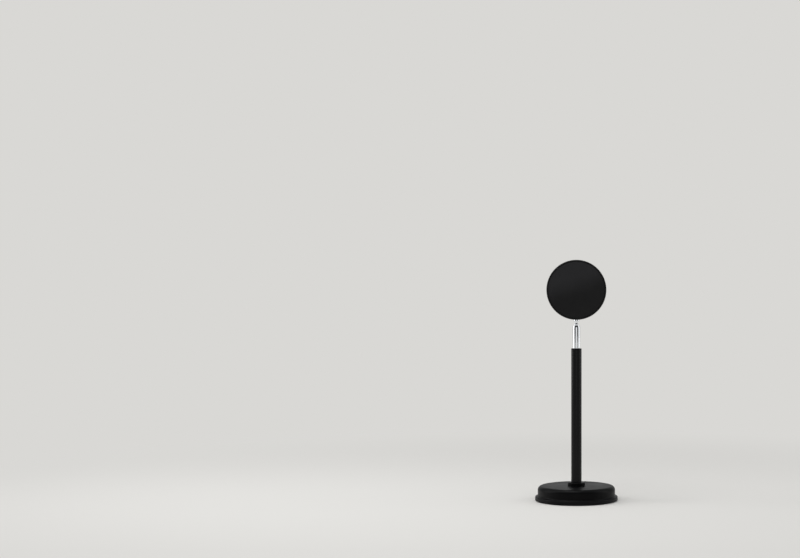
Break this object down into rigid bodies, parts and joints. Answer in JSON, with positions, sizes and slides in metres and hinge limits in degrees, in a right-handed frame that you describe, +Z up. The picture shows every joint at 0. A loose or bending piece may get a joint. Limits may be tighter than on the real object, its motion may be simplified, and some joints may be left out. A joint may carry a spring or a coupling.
{
  "type": "sunset projection lamp",
  "caption": "Table lamp with a weighted round base, slim pole, slotted ball joint and a drum head that projects a coloured disc of light through a lens.",
  "frame": {"origin": "centre of the base's underside, on the table", "axes": "+Z up, +Y the way the lens looks, +X to the right of someone who looks along +Y"},
  "size_m": [0.1, 0.1, 0.291],
  "materials": {
    "black_painted_steel": "matte",
    "cast_iron": "matte",
    "zinc_plated_steel": "satin",
    "foam_rubber": "matte",
    "spring_steel": "satin",
    "black_lacquered_tube": "satin",
    "black_acetal": "satin",
    "chrome_plate": "polished",
    "white_nylon": "satin",
    "black_aluminium": "matte",
    "black_plastic": "matte",
    "clear_glass": "polished",
    "black_rubber": "matte",
    "filter_glass": "polished",
    "bare_aluminium": "satin",
    "thermal_silicone": "matte",
    "white_board": "satin",
    "phosphor": "satin",
    "green_board": "satin",
    "ferrite": "matte",
    "capacitor_ceramic": "satin",
    "red_insulation": "satin",
    "black_insulation": "satin"
  },
  "bodies": {
    "stand": {"base_cover": "black_painted_steel", "base_weight": "cast_iron", "bottom_plate": "zinc_plated_steel", "bottom_plate_screws": "zinc_plated_steel", "base_pad": "foam_rubber", "base_bolt": "zinc_plated_steel", "base_bolt_washer": "zinc_plated_steel", "base_bolt_lock_washer": "spring_steel", "pole_collar": "black_painted_steel", "pole_bottom_plug": "zinc_plated_steel", "pole_tube": "black_lacquered_tube", "pole_top_bush": "black_acetal"},
    "socket": {"joint_barrel": "chrome_plate", "swivel_washer": "white_nylon", "swivel_spring_washer": "spring_steel", "swivel_circlip": "spring_steel", "friction_cup": "white_nylon", "disc_springs": "spring_steel"},
    "stud": {"ball_stud": "chrome_plate"},
    "head": {"stud_washer": "zinc_plated_steel", "stud_nut": "zinc_plated_steel", "head_shell": "black_aluminium", "rear_cover": "black_plastic", "front_bezel": "black_plastic", "projection_lens": "clear_glass", "lens_gasket": "black_rubber", "lens_tube": "black_plastic", "colour_filter": "filter_glass", "filter_retainer": "spring_steel", "heat_sink": "bare_aluminium", "heat_sink_screws": "zinc_plated_steel", "thermal_pad": "thermal_silicone", "led_board": "white_board", "led_emitter": "phosphor", "led_board_screws": "zinc_plated_steel", "driver_board": "green_board", "driver_inductor": "ferrite", "driver_capacitors": "capacitor_ceramic", "driver_chip": "black_plastic", "driver_terminal": "white_nylon", "driver_screws": "zinc_plated_steel", "led_wire_red": "red_insulation", "led_wire_black": "black_insulation", "cable_gland": "black_rubber"}
  },
  "joints": [
    {"name": "socket_swivel", "type": "hinge", "parent": "stand", "child": "socket", "pos_m": [0, 0, 0.1839], "axis": [0, 0, 1], "continuous": true},
    {"name": "head_tilt", "type": "hinge", "parent": "socket", "child": "stud", "pos_m": [0, 0, 0.20925], "axis": [-1, 0, 0], "range_deg": [-30, 90]},
    {"name": "head_roll", "type": "hinge", "parent": "stud", "child": "head", "pos_m": [0, 0, 0.21901], "axis": [0, 0, 1], "continuous": true}
  ]
}
